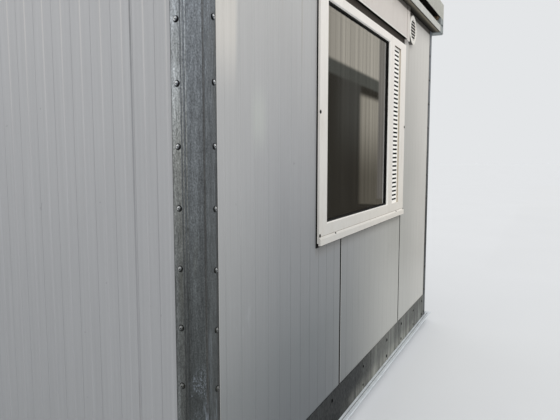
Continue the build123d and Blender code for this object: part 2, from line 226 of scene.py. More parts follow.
def addRings(shape, rings, closed=False):
    start, size, count = len(shape["points"]), len(rings[0]), len(rings)
    for ring in rings:
        shape["points"].extend(ring)
    for level in range(count if closed else count - 1):
        low, high = start + level * size, start + (level + 1) % count * size
        for corner in range(size):
            after = (corner + 1) % size
            shape["faces"].append((low + corner, low + after, high + after, high + corner))
    if not closed:
        shape["faces"].append(tuple(range(start + size - 1, start - 1, -1)))
        last = start + (count - 1) * size
        shape["faces"].append(tuple(range(last, last + size)))


def addBlock(shape, wall, along, out, up):
    corners = ((along[0], out[0]), (along[0], out[1]), (along[1], out[1]), (along[1], out[0]))
    addRings(shape, [[onWall(wall, a, o, height) for a, o in corners] for height in up])


# A stretch, or a place given twice, with both ends moved by small amounts
def shifted(pair, amounts):
    return pair[0] + amounts[0], pair[1] + amounts[1]


# A strip of one section, drawn as (out, up) points, run along a wall
def addRun(shape, wall, along, outline):
    addRings(shape, [[onWall(wall, place, out, up) for out, up in outline] for place in along])


def roundPoints(radius, turns):
    angles = [2 * math.pi * n / turns for n in range(turns)]
    return [(radius * math.cos(angle), radius * math.sin(angle)) for angle in angles]


def circle(wall, along, out, up, radius, turns):
    return [onWall(wall, along + a, out, up + b) for a, b in roundPoints(radius, turns)]


def addDome(shape, wall, along, out, up, radius, height, turns=16, levels=4, socket=0.0):
    foot = 0.12 * height
    profile = [(radius, -0.001), (radius, foot)]
    for level in range(1, levels):
        angle = math.pi / 2 * level / levels
        profile.append((radius * math.cos(angle), foot + (height - foot) * math.sin(angle)))
    profile += [(socket, height), (socket, height - 0.7 * socket)] if socket else [(0.06 * radius, height)]
    addRings(shape, [circle(wall, along, out + lift, up, reach, turns) for reach, lift in profile])


# An upright round pin in front of a wall, its ends rounded off a little
def addPin(shape, wall, along, out, low, high, radius):
    edge = 0.15 * radius
    levels = ((low, radius - edge), (low + edge, radius), (high - edge, radius), (high, radius - edge))
    addRings(shape, [[onWall(wall, along + a, out + b, up) for a, b in roundPoints(reach, 16)]
                     for up, reach in levels])


def newPiece(name, points, faces, finishName):
    mesh = bpy.data.meshes.new(name)
    mesh.from_pydata([tuple(point) for point in points], [], faces)
    mesh.validate()
    mesh.materials.append(finishes[finishName])
    piece = bpy.data.objects.new(name, mesh)
    scene.collection.objects.link(piece)
    return piece


def makePiece(name, shape, finishName, smooth=35, bevel=0.0):
    piece = newPiece(name, shape["points"], shape["faces"], finishName)
    mesh, shell = piece.data, bmesh.new()
    shell.from_mesh(mesh)
    bmesh.ops.recalc_face_normals(shell, faces=shell.faces)
    shell.to_mesh(mesh)
    shell.free()
    if bevel:
        rounding = piece.modifiers.new("rounding", "BEVEL")
        rounding.width = bevel
        rounding.segments = 2
        rounding.limit_method = "ANGLE"
    mesh.shade_smooth()
    mesh.set_sharp_from_angle(angle=math.radians(smooth))
    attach(piece, "root")


# A piece made of blocks only, each given as its wall and its reach along, out and up
def makeBlocks(name, finishName, slotName, *blocks):
    shape = newShape()
    for block in blocks:
        addBlock(shape, *block)
    makePiece(name, shape, finishName)


# What a mark on a finish is measured by, in metres, or for the faces by how squarely they look a way.
# "beyond" is "along" once more, for marks that fade twice
measures = {
    "along": lambda tree: reckon(tree, "ADD", axis(tree, "X"), halfWidth),
    "beyond": lambda tree: measures["along"](tree),
    "up": lambda tree: axis(tree, "Z"),
    "slant": lambda tree: reckon(tree, "SUBTRACT", measures["along"](tree),
                                 both(tree, axis(tree, "Z"), 0.04)),
    "fromSide": lambda tree: reckon(tree, "SUBTRACT", halfWidth, unsigned(tree, axis(tree, "X"))),
    "fromEnd": lambda tree: reckon(tree, "SUBTRACT", halfLength, unsigned(tree, axis(tree, "Y"))),
    "inward": lambda tree: reckon(tree, "MAXIMUM", measures["fromSide"](tree), measures["fromEnd"](tree)),
    "sideways": lambda tree: unsigned(tree, facing(tree, "X")),
    "endways": lambda tree: unsigned(tree, facing(tree, "Y")),
    "rearward": lambda tree: facing(tree, "Y"),
    "upward": lambda tree: facing(tree, "Z"),
}


# A mark is a tone laid over a finish. Three numbers of a measure are a band (low, high, softness); two or
# more are a fade (from, to, and its shares there). Grit breaks it up: the numbers of a grain, and a fade
def mark(shade, share=1.0, grit=(), **where):
    return {"tone": shade, "share": share, "grit": grit, "where": where}


def marked(tree, base, marks):
    for one in marks:
        masks = [(between if len(numbers) == 3 else spread)(tree, measures[name](tree), *numbers)
                 for name, numbers in one["where"].items()]
        masks += [spread(tree, grain(tree, *pattern), *fade) for pattern, fade in one["grit"]]
        base = blend(tree, both(tree, *masks, one["share"]), base, tone(*one["tone"]))
    return base


# Dull galvanised steel: its tone falls towards the foot. The folded side flanges take a lighter set of tones,
# painted light where they catch more light.
# The crease lines of a post are painted dark as painted shade, given as place, half width and share; its thin
# chalk runs as share and reach
paintedCreaseShade = {"fromEnd": ((0.0405, 0.0008, 0.34), (0.0465, 0.0008, 0.34), (0.053, 0.006, 0.16),
                       (0.064, 0.002, 0.1)),
           "fromSide": ((0.0385, 0.0022, 0.62), (0.0465, 0.0008, 0.4))}
chalk, thinGrit = (134, 142, 152), ((0.0035, (1, 1, 0.05), 3, 0.6, 8.3), (0.46, 0.58))
chalkRuns = ((0.6, 0.03, 0.043, 0.66), (0.5, 0.074, 0.088, 0.66), (0.22, 0.048, 0.064, 0.88))
postSteel = {
    "face": ((0.1, (52, 56, 57)), (0.7, (56, 60, 60)), (1.0, (73, 77, 78)), (1.4, (89, 93, 96)),
             (1.8, (108, 113, 118)), (2.35, (123, 129, 136))),
    "side": ((0.1, (60, 64, 63)), (0.7, (68, 71, 70)), (1.0, (84, 87, 86)), (1.4, (128, 130, 127)),
             (1.8, (163, 168, 172)), (2.35, (184, 190, 198))),
    "streak": 0.42, "streakSize": 0.0045, "mottle": 0.17, "speck": 0.5, "speckSize": 0.0034,
    "stain": (58, 57, 44),
    "under": [
        # painted shade along the crease lines
        *[mark((46, 43, 39), share, **{side: (place - half, place + half, 0.0008)})
          for side, rows in paintedCreaseShade.items() for place, half, share in rows],
        mark((214, 217, 220), sideways=(0.8, 0.95), fromEnd=(0.068, 0.0785, 0.0015),
             up=(1.3, 2.1, 0.05, 0.4)),  # painted highlight on the tip of the side flange
    ],
    "over": [
        mark(chalk, 0.44, (((0.0045, (1, 1, 0.6), 5, 0.75, 5.3), (0.5, 0.58)),
                           ((0.035, (1, 1, 0.4), 2, 0.5, 9.1), (0.46, 0.56))),
             up=(0.6, 0.75, 0.03), inward=(0.04, 0.034)),  # chalk marks low on the corner
        *[mark(chalk, share, (thinGrit,), fromSide=(low, high, 0.004), up=(top, top - 0.05))
          for share, low, high, top in chalkRuns],
        mark((34, 34, 32), endways=(0.5, 0.8), fromSide=(0.084, 0.099),
             up=(1.9, 0.8, 0.12, 0.8)),  # painted shade on the tip of the end flange
    ],
}
kickSteel = {"face": ((0.05, (106, 109, 105)), (0.26, (90, 91, 86))), "streak": 0.38, "streakSize": 0.02,
             "mottle": 0.2, "speck": 0.2, "stain": (56, 54, 46)}
# On the front kick plate the near end is darker, a painted reflection of dark ground; low down, further
# along, it is paler
frontKickSteel = {**kickSteel, "streak": 0.8, "streakSize": 0.016, "mottle": 0.24, "speck": 0.24,
                  "stain": (50, 49, 43),
                  "under": [mark((25, 28, 28), along=(1.95, 1.42)),
                            mark((142, 142, 134), 0.75, up=(0.16, 0.08), along=(1.45, 2.95, 0.35))]}
ledgeSteel = {"face": ((0.0, (216, 221, 226)), (0.3, (190, 196, 200))), "streak": 0.12, "streakSize": 0.0045,
              "mottle": 0.12, "speck": 0.12, "stain": (110, 108, 100)}
longFasciaSteel = {"face": ((2.3, (128, 135, 140)), (2.6, (150, 157, 161))), "streak": 0.12,
                   "streakSize": 0.0045, "mottle": 0.14, "speck": 0.14, "stain": (96, 96, 90)}


def steelFinish(name, setting, way, metallic=0.3, roughness=0.5, specular=0.5):
    tree, shader = startFinish(name, roughness, metallic, specular)
    height = axis(tree, "Z")
    base = gradient(tree, height, setting["face"])
    # Faces that look sideways take the lighter side tones: painted light
    if "side" in setting:
        sideways = spread(tree, measures["sideways"](tree), 0.8, 0.95)
        base = blend(tree, sideways, base, gradient(tree, height, setting["side"]))
    base = marked(tree, base, setting.get("under", ()))
    streaks = grain(tree, setting["streakSize"], way, 3, 0.6)
    wide = grain(tree, 5 * setting["streakSize"], (way[0], way[1], way[2] * 0.4), 2, 0.5, 3.1)
    mottle = grain(tree, 0.012, (1, 1, 0.5), 4, 0.7, 7.7)
    speck = grain(tree, setting.get("speckSize", 0.0022), (1, 1, 0.6), 2, 0.5, 1.9)
    for pattern, amount in ((streaks, setting["streak"]), (wide, setting["streak"] * 0.8),
                            (mottle, setting["mottle"]), (speck, setting["speck"])):
        base = varied(tree, base, pattern, amount)
    stain = both(tree, spread(tree, grain(tree, 0.22, (1, 1, 0.35), 3, 0.6, 12.5), 0.55, 0.68),
                 spread(tree, wide, 0.42, 0.62), 0.5)
    base = blend(tree, stain, base, tone(*setting["stain"]))
    base = marked(tree, base, setting.get("over", ()))
    dress(tree, shader, base, mottle, (roughness - 0.1, roughness + 0.14))
    bumped(tree, shader, reckon(tree, "ADD", streaks, mottle), 0.0004, 0.5)


# Tones by height. Parts of the window end have a near and a far set, and change between them along the wall.
# The near sets are darker low down: painted reflection of dark ground
nearEnds = (0.92, 2.35)
endWallSheet = {"near": ((0.3, (95, 99, 102)), (0.6, (107, 111, 113)), (1.0, (134, 136, 138)),
                         (1.3, (152, 153, 155)), (1.8, (173, 173, 173)), (2.35, (190, 190, 188))),
                "far": ((0.3, (170, 170, 165)), (1.3, (172, 171, 166)), (2.35, (199, 196, 191)))}
sideSheet = ((0.2, (144, 146, 148)), (1.0, (157, 158, 160)), (2.35, (185, 185, 186)))
windowProfile = {"near": ((0.99, (200, 198, 193)), (1.3, (214, 211, 206)), (1.85, (230, 226, 220)),
                          (2.15, (234, 230, 224))),
                 "far": ((0.99, (225, 220, 211)), (1.4, (227, 222, 214)), (2.15, (240, 234, 227)))}


def byHeight(tree, tones):
    height = axis(tree, "Z")
    if not isinstance(tones, dict):
        return gradient(tree, height, tones)
    far = spread(tree, measures["along"](tree), *nearEnds)
    return blend(tree, far, gradient(tree, height, tones["near"]), gradient(tree, height, tones["far"]))


# Marks of the walls, in the order in which they lie on each other
endWallMarks = [
    mark((212, 211, 206), 0.19, along=(0.55, 0.1, 0, 1, "LINEAR"),
         up=(0.45, 1.15, 0.36, 1, "LINEAR")),  # worn paler towards the corner
    mark((222, 220, 214), 0.25, along=(0.104, 0.113, 0.002)),  # clean rim beside the flange
    mark((210, 206, 199), 0.75, slant=(0.172, 0.142), up=(1.55, 1.8)),  # pale strip high up
    mark((180, 184, 178), 0.5, along=(0.33, 0.42, 0.03), up=(1.44, 1.6, 0.07)),  # wiped patch
    mark((210, 207, 201), along=(2.45, 3.15), up=(0.3, 1.6, 0.35, 0.75, "LINEAR")),  # the far end lighter: painted reflection
    *[mark((206, 205, 201), 0.5, along=(joint + 0.005, joint + 0.013, 0.002))
      for joint in frontJoints],  # painted highlight on the lips of the joints
    *[mark((140, 124, 100), share, along=(start, end, 0.004), up=(top - 0.25, top))  # brown runs
      for share, start, end, top in ((0.3, 0.731, 0.739, 1.91), (0.34, 2.51, 2.53, 2.1),
                                     (0.1, 0.554, 0.566, 2.05))],
    mark((176, 181, 187), 0.26, (((0.04, (1, 1, 0.4), 3, 0.5, 6.6), (0.42, 0.62)),),
         along=(0.19, 0.3, 0.04), up=(0.81, 0.89, 0.04)),  # rubbed patch by the post
    mark((112, 107, 98), 0.35, along=(0.885, 2.375, 0.004), up=(0.955, 1.0, 0.03)),  # painted shadow under the sill
]
frontLineMarks = endWallMarks + [mark(
    (60, 62, 66), along=(0.2, 1.0, 0.1, 0.22), beyond=(1.15, 1.5, 1.0, 0.3),
    up=(1.15, 0.9, 0.25, 1.0))]  # the pressed lines darker towards the foot, most on the near panel
rearLineMarks = [mark((78, 80, 84), up=(2.2, 0.4, 0.1, 0.24))]
sideRibPaintedLight = [mark((216, 212, 204), rearward=(-0.18, -0.34), up=(1.3, 2.1, 0.0, 0.26)),  # painted light on the rib sides that face the window end
                 # painted shade on the rib sides that face the rear
                 mark((118, 119, 124), 0.26, rearward=(0.18, 0.34))]
sheetMarks = [
    mark((110, 112, 112), 0.35, (((0.03, (1, 1, 0.8), 2, 0.5, 8.8), (0.77, 0.8)),)),  # few dull spots
    mark((54, 49, 43), 0.9, up=(soffit - 0.036, soffit - 0.026)),  # painted shadow under the roof edge
]
# The same painted shadow under the roof edge, for the shutter box
eavePaintedShadow = [mark((52, 47, 42), 0.85, up=(soffit - 0.034, soffit - 0.026))]
# Painted shade on faces that look down, under the slats of the vents and the louvre strip
undersidePaintedShade = [mark((30, 27, 22), 0.92, upward=(-0.35, -0.75))]


# Coated wall sheet: fine upright streaks and broad clouds
def finishSheet(name, tones, marks):
    tree, shader = startFinish(name, 0.46, 0.0, 0.35)
    base = marked(tree, byHeight(tree, tones), marks)
    clouds = grain(tree, 0.5, (1, 1, 0.6), 3, 0.5, 4.4)
    base = varied(tree, base, grain(tree, 0.01, (1, 1, 0.02), 3, 0.5), 0.045)
    base = varied(tree, base, clouds, 0.03)
    dress(tree, shader, marked(tree, base, sheetMarks), clouds, (0.4, 0.54))
    bumped(tree, shader, grain(tree, 0.004, (1, 1, 0.3), 2, 0.5, 2.2), 0.00012, 0.35)


# Pale speckled zinc of the roof edge
def speckledZinc(name, base, dark, light, roughness=0.55):
    tree, shader = startFinish(name, roughness, 0.1, 0.3)
    speck = grain(tree, 0.006, (1, 1, 1), 3, 0.7)
    cloud = grain(tree, 0.05, (1, 1, 0.5), 4, 0.6, 2.7)
    face = blend(tree, spread(tree, speck, 0.38, 0.6), tone(*dark), tone(*base))
    face = blend(tree, spread(tree, cloud, 0.5, 0.7, 0, 0.6), face, tone(*light))
    face = varied(tree, face, grain(tree, 0.0025, (1, 1, 1), 2, 0.5, 4.1), 0.08)
    dress(tree, shader, face, cloud, (roughness - 0.1, roughness + 0.1))
    bumped(tree, shader, speck, 0.0003)


# Plain coated or moulded surfaces with a little dirt and unevenness
def coatFinish(name, base, dirt, roughness, dirtShare=0.25, speckSize=0.01, bumpDepth=0.0001, metallic=0.0,
               way=(1, 1, 0.4), specular=0.4, marks=()):
    tree, shader = startFinish(name, roughness, metallic, specular)
    cloud = grain(tree, 0.12, way, 4, 0.6, 6.1)
    fine = grain(tree, speckSize, way, 3, 0.6, 1.7)
    clean = byHeight(tree, base) if isinstance(base, dict) else tone(*base)
    face = blend(tree, spread(tree, cloud, 0.5, 0.75, 0, dirtShare), clean, tone(*dirt))
    face = marked(tree, varied(tree, face, fine, 0.025), marks)
    dress(tree, shader, face, cloud, (roughness - 0.05, roughness + 0.08))
    bumped(tree, shader, fine, bumpDepth)


# Polished pan heads with painted light: a painted highlight where they look up and to the left, painted
# near-black shade below, and the painted highlight dulled low down
headPaintedLight = ((-0.9, (10, 11, 12)), (0.12, (14, 15, 17)), (0.34, (60, 64, 68)), (0.56, (156, 160, 164)),
             (0.76, (250, 250, 250)), (1.0, (255, 255, 253)))


def domeFinish(name, wall):
    tree, shader = startFinish(name, 0.28, 0.85)
    left = onWall(wall, 0, 0, 0) - onWall(wall, 1, 0, 0)
    outward = onWall(wall, 0, 1, 0) - onWall(wall, 0, 0, 0)
    lean = 0.5 if wall in ("left", "right") else -0.45
    way = (left * lean + outward * 0.7 + Vector((0, 0, 0.35))).normalized()
    normal = newNode(tree, "ShaderNodeNewGeometry")["Normal"]
    turned = newNode(tree, "ShaderNodeVectorMath", {0: normal, 1: way}, operation="DOT_PRODUCT")["Value"]
    paintedLight = marked(tree, gradient(tree, turned, headPaintedLight), [mark((58, 58, 52), up=(1.9, 0.5, 0.0, 0.86))])
    worn = grain(tree, 0.004, (1, 1, 1), 3, 0.6)
    dress(tree, shader, varied(tree, paintedLight, worn, 0.12), worn, (0.22, 0.36))


# Painted shade under the eave: darkest by the wall, paler out towards the lip, and a dark line of painted
# shadow at the lip's foot
soffitPaintedShade = ((0.0, (30, 28, 26)), (0.018, (44, 42, 38)), (0.036, (74, 71, 64)), (0.052, (136, 129, 116)),
               (0.061, (118, 112, 100)), (0.064, (22, 20, 18)), (0.066, (20, 18, 16)))


def soffitFinish(name):
    tree, shader = startFinish(name, 0.95, 0.0, 0.08)
    inside = reckon(tree, "MINIMUM", measures["fromSide"](tree), measures["fromEnd"](tree))
    smear = grain(tree, 0.02, (1, 1, 1), 4, 0.6)
    base = gradient(tree, reckon(tree, "MULTIPLY", inside, -1), soffitPaintedShade)
    plug(tree, shader, {"Base Color": varied(tree, base, smear, 0.25)})
    bumped(tree, shader, smear, 0.0003)


def glassFinish(name):
    tree, shader = startFinish(name, 0.03, 0.0, 1.0)
    haze = grain(tree, 0.25, (1, 1, 0.3), 3, 0.5, 3.3)
    base = blend(tree, spread(tree, haze, 0.4, 0.7), tone(12, 13, 13), tone(24, 25, 24))
    plug(tree, shader, {"IOR": 1.9, "Alpha": 0.88, "Base Color": base,
                        "Roughness": spread(tree, haze, 0.3, 0.8, 0.004, 0.014)})


steelFinish("post_steel", postSteel, (1, 1, 0.12))
steelFinish("kick_steel", kickSteel, (1, 1, 0.05))
steelFinish("front_kick_steel", frontKickSteel, (1, 1, 0.05), specular=0.22)
steelFinish("ledge_steel", ledgeSteel, (0.3, 0.3, 1), 0.1)
steelFinish("long_fascia_steel", longFasciaSteel, (0.3, 0.3, 1), 0.2)
finishSheet("end_wall_sheet", endWallSheet, endWallMarks)
finishSheet("end_wall_line", endWallSheet, frontLineMarks)
finishSheet("side_wall_sheet", sideSheet, sideRibPaintedLight)
finishSheet("rear_wall_line", sideSheet, rearLineMarks)
speckledZinc("end_fascia_zinc", (184, 184, 176), (158, 159, 151), (202, 201, 192))
speckledZinc("roof_lip_zinc", (198, 198, 193), (180, 181, 176), (210, 209, 203))
speckledZinc("corner_block_zinc", (146, 152, 152), (122, 129, 130), (168, 172, 170))
speckledZinc("hem_zinc", (206, 205, 196), (190, 189, 180), (218, 217, 208))
coatFinish("white_profile", windowProfile, (188, 180, 166), 0.36, 0.3)
# The glazing bead is a paler white than the frame, without its darkening low down: painted highlight along
# the edge of the glass
coatFinish("glazing_bead_white", (246, 243, 237), (214, 208, 196), 0.36, 0.3)
coatFinish("white_moulding", (232, 229, 222), (186, 176, 158), 0.5, 0.4, marks=undersidePaintedShade)
coatFinish("white_louvre_plate", (252, 250, 244), (214, 206, 192), 0.45, 0.3, marks=undersidePaintedShade)
coatFinish("black_seal", (20, 20, 19), (44, 40, 35), 0.8, 0.3, specular=0.15)
# Near-black for the roof recess, the gaps beside the kick plate laps and the underside of the shutter box:
# painted shade
coatFinish("recess_painted_shade", (20, 18, 16), (34, 30, 26), 0.95, 0.4, specular=0.05)
coatFinish("dark_gauze", (15, 14, 12), (30, 26, 22), 1.0, 0.4, specular=0.0)
coatFinish("grey_joint_seal", (148, 149, 151), (92, 90, 86), 0.9, 0.4, specular=0.1)
coatFinish("box_sheet", (207, 200, 194), (190, 181, 172), 0.42, 0.3, marks=eavePaintedShadow)
coatFinish("box_hem", (226, 224, 218), (200, 196, 186), 0.4, 0.3)
coatFinish("shutter_bar_paint", (58, 52, 47), (34, 30, 27), 0.7, 0.8, 0.02, way=(0.2, 0.2, 1),
           specular=0.15)
coatFinish("pad_rubber", (52, 52, 50), (92, 86, 76), 0.85, 0.5, 0.006, 0.0008)
coatFinish("floor_covering", (96, 94, 90), (70, 66, 60), 0.6, 0.4, 0.004)
coatFinish("ceiling_lining", (214, 213, 209), (190, 186, 176), 0.5, 0.25)
coatFinish("roof_sheet_coat", (162, 167, 170), (140, 139, 132), 0.5, 0.5, 0.02, 0.0003, way=(1, 0.5, 1))
coatFinish("door_coat", (178, 180, 181), (140, 138, 130), 0.4, 0.3)
coatFinish("satin_handle", (168, 170, 171), (130, 130, 128), 0.32, 0.3, 0.003, 0.0001, 0.9)
coatFinish("screw_shadow_ring", (24, 25, 25), (44, 42, 40), 0.7, 0.4, 0.004, specular=0.1)
coatFinish("black_screw", (12, 12, 12), (30, 28, 25), 0.9, 0.4, 0.004, specular=0.04)
coatFinish("sill_seam", (150, 143, 130), (120, 112, 98), 0.8, 0.5, 0.006, specular=0.2)
coatFinish("pale_screw_ring", (172, 176, 178), (120, 118, 112), 0.5, 0.4, 0.004)
coatFinish("dirty_joint", (204, 199, 190), (170, 160, 144), 0.7, 0.5, 0.006)
coatFinish("strip_top_painted_shadow", (84, 70, 54), (52, 42, 32), 0.8, 0.6, 0.006, specular=0.1)
coatFinish("recess_dust", (186, 176, 160), (160, 148, 130), 0.7, 0.5, 0.006, specular=0.2)
coatFinish("rusty_steel", (98, 82, 64), (66, 52, 40), 0.85, 0.9, 0.006, 0.0006, specular=0.15)
soffitFinish("soffit_painted_shade")
glassFinish("dark_glass")
print("site cabin: finishes made")

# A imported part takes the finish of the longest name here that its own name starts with
nodeFinishes = {
    "support_pads": "pad_rubber", "floor_joists": "kick_steel", "floor_deck": "floor_covering",
    "base_rail": "ledge_steel", "kick_plate": "kick_steel", "kick_plate_front": "front_kick_steel",
    "corner_post": "post_steel", "front_panel": "end_wall_sheet", "rear_panel": "side_wall_sheet",
    "left_wall": "side_wall_sheet", "right_wall": "side_wall_sheet", "ceiling_panel": "ceiling_lining",
    "roof_corner_blocks": "corner_block_zinc", "roof_sheet": "roof_sheet_coat", "roof_beam": "roof_lip_zinc",
    "roof_fascia": "end_fascia_zinc", "roof_fascia_left": "long_fascia_steel",
    "roof_fascia_right": "long_fascia_steel", "window_frame": "white_profile", "window_seals": "black_seal",
    "window_glass": "dark_glass", "window_sill": "white_profile", "vent_strip": "white_louvre_plate",
    "round_vents": "white_moulding", "shutter_box": "box_sheet", "shutter_bar": "shutter_bar_paint",
    "door": "door_coat", "door_handle": "satin_handle",
}
for name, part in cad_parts.items():
    start = max((key for key in nodeFinishes if name.startswith(key)), key=len)
    part.data.materials.clear()
    part.data.materials.append(finishes[nodeFinishes[start]])
    for face in part.data.polygons:
        face.material_index = 0


# Long walls have raised ribs with sloping sides; the end walls have narrow pressed lines, wider apart.
# Both are kept clear of the window, the shutter box, the vents and the door
ribs = {"pitch": coverWidth / 14, "start": 0.033, "end": 0.075, "slope": 0.004, "height": 0.0018,
        "edge": 0.0045}
lines = {"pitch": coverWidth / 12, "start": -0.0032, "end": 0.0032, "slope": 0.002, "height": 0.0004,
         "edge": 0.012, "cornerShift": 0.007, "farShift": 0.036}
clear = {"ends": 0.001, "shortest": 0.004, "vent": 0.002, "window": 0.004, "tape": 0.002, "boxFoot": 0.012,
         "box": 0.002}
flangeTips = {"front": 0.104, "rear": 0.104, "left": 0.08, "right": 0.08}
cornerStart = 0.06  # the first and last panels end behind the posts
vents = {"radius": ventHigh.z / 2 - ventLow.z / 2, "up": (ventHigh.z + ventLow.z) / 2}
vents["places"] = frontSpan(ventLow, ventHigh, -vents["radius"])


def cutAway(pieces, gap, least):
    left, right, low, high = gap
    kept = []
    for a0, a1, z0, z1 in pieces:
        if a1 <= left or a0 >= right or z1 <= low or z0 >= high:
            kept.append((a0, a1, z0, z1))
        else:
            z2, z3 = max(z0, low), min(z1, high)
            kept += [(a0, a1, z0, low), (a0, a1, high, z1), (a0, left, z2, z3), (right, a1, z2, z3)]
    return [p for p in kept if p[1] - p[0] > least and p[3] - p[2] > clear["shortest"]]


def addRib(shape, wall, a0, a1, z0, z1, slope, height):
    half = slope / 2
    outline = [(a0 - half, -sunk), (a0 - half, 0), (a0 + half, height),
               (a1 - half, height), (a1 + half, 0), (a1 + half, -sunk)]
    addRings(shape, [[onWall(wall, along, out, up) for along, out in outline] for up in (z0, z1)])


def ribbedWall(wall, panels, gaps=(), rounds=()):
    shape = newShape()
    length = lengths[wall]
    press = lines if wall in ("front", "rear") else ribs
    edge, least = press["edge"], 3 * press["slope"]
    inner = flangeTips[wall] + edge
    round0 = vents["radius"] + clear["vent"]
    for start, end, phase in panels:
        for place in range(int((end - phase) / press["pitch"]) + 1):
            a0 = phase + place * press["pitch"] + press["start"]
            a1 = a0 + press["end"] - press["start"]
            a0, a1 = max(a0, start + edge, inner), min(a1, end - edge, length - inner)
            if a1 - a0 < least:
                continue
            pieces = [(a0, a1, kickTop + clear["ends"], soffit - clear["ends"])]
            for gap in gaps:
                pieces = cutAway(pieces, gap, least)
            for centre in rounds:
                near = max(a0 - centre, centre - a1, 0)
                if near < round0:
                    reach = math.sqrt(round0 ** 2 - near ** 2)
                    gap = (a0 - 1, a1 + 1, vents["up"] - reach, vents["up"] + reach)
                    pieces = cutAway(pieces, gap, least)
            for a0, a1, z0, z1 in pieces:
                if wall == "left":  # its panels are set out from the window end
                    a0, a1 = length - a1, length - a0
                addRib(shape, wall, a0, a1, z0, z1, press["slope"], press["height"])
    return shape


windowGap = (*frontSpan(frameLow, frameHigh, clear["window"]), tapeLow.z - clear["tape"],
             boxLow.z + clear["boxFoot"])
boxGap = (*frontSpan(boxLow, boxHigh, clear["box"]), boxLow.z - clear["box"], soffit)
doorGap = (*rearSpan(doorLow, doorHigh), 0, doorHigh.z)
endStop, sideStop = 2 * halfWidth - cornerStart, 2 * halfLength - cornerStart
# Each panel: where it starts and ends, and where its first rib or line is counted from
frontPanels = [(cornerStart, frontJoints[0], frontJoints[0] - coverWidth + lines["cornerShift"]),
               (*frontJoints, frontJoints[0]),
               (frontJoints[1], endStop, frontJoints[1] + lines["farShift"])]
rearPanels = [(cornerStart, doorGap[0], doorGap[0] - coverWidth), (doorGap[0], doorGap[1], doorGap[0]),
              (doorGap[1], endStop, doorGap[1])]
sidePanels = [(cornerStart, sideJoints[0], sideJoints[0] - coverWidth)]
sidePanels += [(joint, min(joint + coverWidth, sideStop), joint) for joint in sideJoints]
makePiece("front_wall_lines", ribbedWall("front", frontPanels, (windowGap, boxGap), vents["places"]),
          "end_wall_line", 5)
makePiece("rear_wall_lines", ribbedWall("rear", rearPanels, (doorGap,)), "rear_wall_line", 5)
for wall in ("left", "right"):
    makePiece(wall + "_wall_ribs", ribbedWall(wall, sidePanels), "side_wall_sheet", 10)

# Dark beads at the foot of the rebates between the panels, partly real sealant and partly painted shade of
# the joints
jointBead = {"left": 0.008, "right": 0.0062, "out": (-sunk, 0.0006), "foot": 0.001,
             "sideHalf": 0.0034, "sideOut": (-0.0012, -0.0003), "sideFoot": -0.02}
makeBlocks("panel_joint_beads", "dark_gauze", "seal", *[
    ("front", (joint - jointBead["left"], joint + jointBead["right"]), jointBead["out"],
     (kickTop + jointBead["foot"], tapeLow.z)) for joint in frontJoints])
makeBlocks("side_panel_joint_beads", "grey_joint_seal", "seal", *[
    (wall, (place - jointBead["sideHalf"], place + jointBead["sideHalf"]), jointBead["sideOut"],
     (kickTop + jointBead["sideFoot"], soffit))
    for joint in sideJoints for wall, place in (("left", lengths["left"] - joint), ("right", joint))])
print("site cabin: wall ribs and joints made")

# Pan-head screws down both flanges of every corner post, and the black seal line along the flange tips,
# partly real seal and partly painted shadow of the gap there
screws = {"end": {"row": 0.09, "first": 0.102, "pitch": 0.188, "count": 12, "seal": 0.0027},
          "side": {"row": 0.06, "first": 0.162, "pitch": 0.1792, "count": 13, "seal": 0.00165},
          "radius": 0.008, "height": 0.0052, "ring": 0.01, "ringHeight": 0.0008, "face": 0.003,
          "socket": 0.0021, "socketDrop": 0.0017, "socketHeight": 0.0006, "sealOut": 0.0022,
          "sealDrop": 0.001}
shadowRings, sockets, tipSeals = newShape(), newShape(), newShape()
face, top = screws["face"], screws["face"] + screws["height"]
for wall, length in lengths.items():
    row = screws["end" if wall in ("front", "rear") else "side"]
    heads = newShape()
    for number in range(row["count"]):
        up = row["first"] + number * row["pitch"]
        for along in (row["row"], length - row["row"]):
            addDome(heads, wall, along, face, up, screws["radius"], screws["height"], socket=screws["socket"])
            addDome(sockets, wall, along, top - screws["socketDrop"], up, screws["socket"] * 1.05,
                    screws["socketHeight"], 8, 2)
            addDome(shadowRings, wall, along, face, up, screws["ring"], screws["ringHeight"], levels=2)
    domeFinish("screw_head_" + wall, wall)
    makePiece("post_screws_" + wall, heads, "screw_head_" + wall)
    tip, reach = flangeTips[wall], row["seal"]
    for along in ((tip, tip + reach), (length - tip - reach, length - tip)):
        addBlock(tipSeals, wall, along, (-sunk, screws["sealOut"]), (kickTop, soffit - screws["sealDrop"]))
makePiece("post_screw_rings", shadowRings, "screw_shadow_ring")
makePiece("post_screw_sockets", sockets, "screw_shadow_ring")
makePiece("post_flange_seals", tipSeals, "black_seal")

